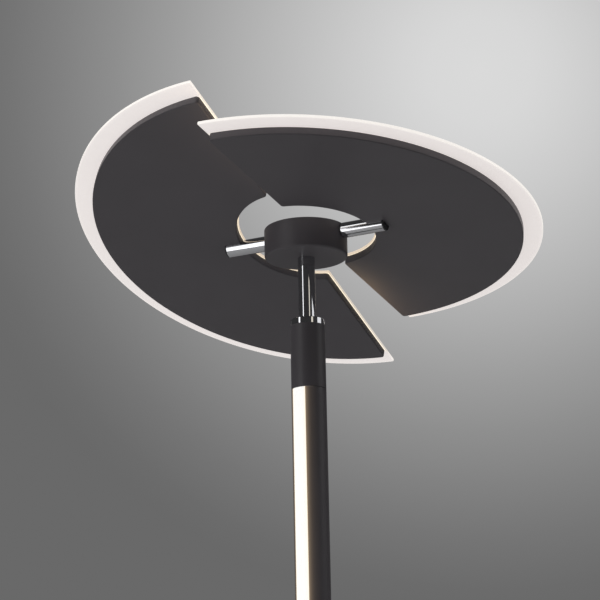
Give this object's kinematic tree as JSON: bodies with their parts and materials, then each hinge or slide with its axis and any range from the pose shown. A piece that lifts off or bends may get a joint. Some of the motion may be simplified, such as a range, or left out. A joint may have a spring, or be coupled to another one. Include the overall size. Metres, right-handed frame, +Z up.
{
  "type": "floor lamp",
  "caption": "Tall floor lamp: round weighted base, dark pole with a vertical light strip, chrome stem and a round hub whose chrome arms carry tilting half-ring light panels.",
  "frame": {"origin": "centre of the base pad's underside, on the floor, under the pole's axis", "axes": "+Z up along the pole, +X along the right arm's tilt axis, -Y the front of the lamp"},
  "size_m": [0.4998, 0.4947, 1.8786],
  "materials": {
    "dark_coat": "matt anthracite powder coat",
    "chrome": "polished chrome plate",
    "opal_acrylic": "opal white acrylic, lit from inside",
    "opal_strip": "opal white cover, lit from inside",
    "white_board": "white solder mask on aluminium core",
    "green_board": "green solder mask",
    "led_phosphor": "phosphor in a clear lens",
    "component_black": "moulded case",
    "foam_tape": "acrylic foam tape",
    "black_plastic": "moulded, fine texture",
    "button_plastic": "moulded, satin",
    "black_nylon": "nylon",
    "rubber_pad": "foam rubber",
    "rubber_grommet": "smooth",
    "cast_weight": "as cast, primed",
    "aluminium_profile": "extruded",
    "turned_aluminium": "turned",
    "lead_sheath": "pvc sheath",
    "zinc_steel": "zinc plated"
  },
  "bodies": {
    "stand": {"base_cover": "dark_coat", "base_nut": "zinc_steel", "base_pad": "rubber_pad", "base_rod": "zinc_steel", "base_washer": "zinc_steel", "base_weight": "cast_weight", "button_holder": "black_plastic", "cord_grommet": "rubber_grommet", "driver_board": "green_board", "driver_leads": "lead_sheath", "driver_parts": "component_black", "hub_housing": "dark_coat", "hub_lid": "dark_coat", "hub_nipple": "zinc_steel", "hub_nut": "zinc_steel", "hub_washer": "zinc_steel", "lid_screws": "zinc_steel", "lit_pole": "dark_coat", "lower_pole": "dark_coat", "pole_foot": "zinc_steel", "pole_joiner": "turned_aluminium", "pole_ring": "chrome", "sleeve_joiner": "turned_aluminium", "stem": "chrome", "stem_set_screw": "zinc_steel", "strip_board": "white_board", "strip_carrier": "aluminium_profile", "strip_cover": "opal_strip", "strip_leds": "led_phosphor", "switch_board": "green_board", "tact_switches": "component_black", "top_sleeve": "dark_coat"},
    "left_panel": {"left_arm": "chrome", "left_arm_bracket": "zinc_steel", "left_arm_cap": "black_plastic", "left_bracket_nuts": "zinc_steel", "left_lead": "lead_sheath", "left_led_board": "white_board", "left_leds": "led_phosphor", "left_lock_nut": "zinc_steel", "left_opal_plate": "opal_acrylic", "left_plate_tape": "foam_tape", "left_tilt_nipple": "zinc_steel", "left_tilt_washers": "black_nylon", "left_tray": "dark_coat"},
    "right_panel": {"right_arm": "chrome", "right_arm_bracket": "zinc_steel", "right_arm_cap": "black_plastic", "right_bracket_nuts": "zinc_steel", "right_lead": "lead_sheath", "right_led_board": "white_board", "right_leds": "led_phosphor", "right_lock_nut": "zinc_steel", "right_opal_plate": "opal_acrylic", "right_plate_tape": "foam_tape", "right_tilt_nipple": "zinc_steel", "right_tilt_washers": "black_nylon", "right_tray": "dark_coat"},
    "head_button": {"head_button": "button_plastic"},
    "pole_button": {"pole_button": "button_plastic"}
  },
  "joints": [
    {"name": "left_panel_tilt", "type": "hinge", "parent": "stand", "child": "left_panel", "pos_m": [0, 0, 1.78], "axis": [1, 0, 0], "range_deg": [-39, 80]},
    {"name": "right_panel_tilt", "type": "hinge", "parent": "stand", "child": "right_panel", "pos_m": [0, 0, 1.78], "axis": [1, 0, 0], "range_deg": [-51.5, 68]},
    {"name": "head_button_press", "type": "slide", "parent": "stand", "child": "head_button", "axis": [0.2164, 0.9763, 0], "range_m": [0, 0.0012], "stiffness_N_per_m": 900},
    {"name": "pole_button_press", "type": "slide", "parent": "stand", "child": "pole_button", "axis": [0.2164, 0.9763, 0], "range_m": [0, 0.0012], "stiffness_N_per_m": 900}
  ]
}
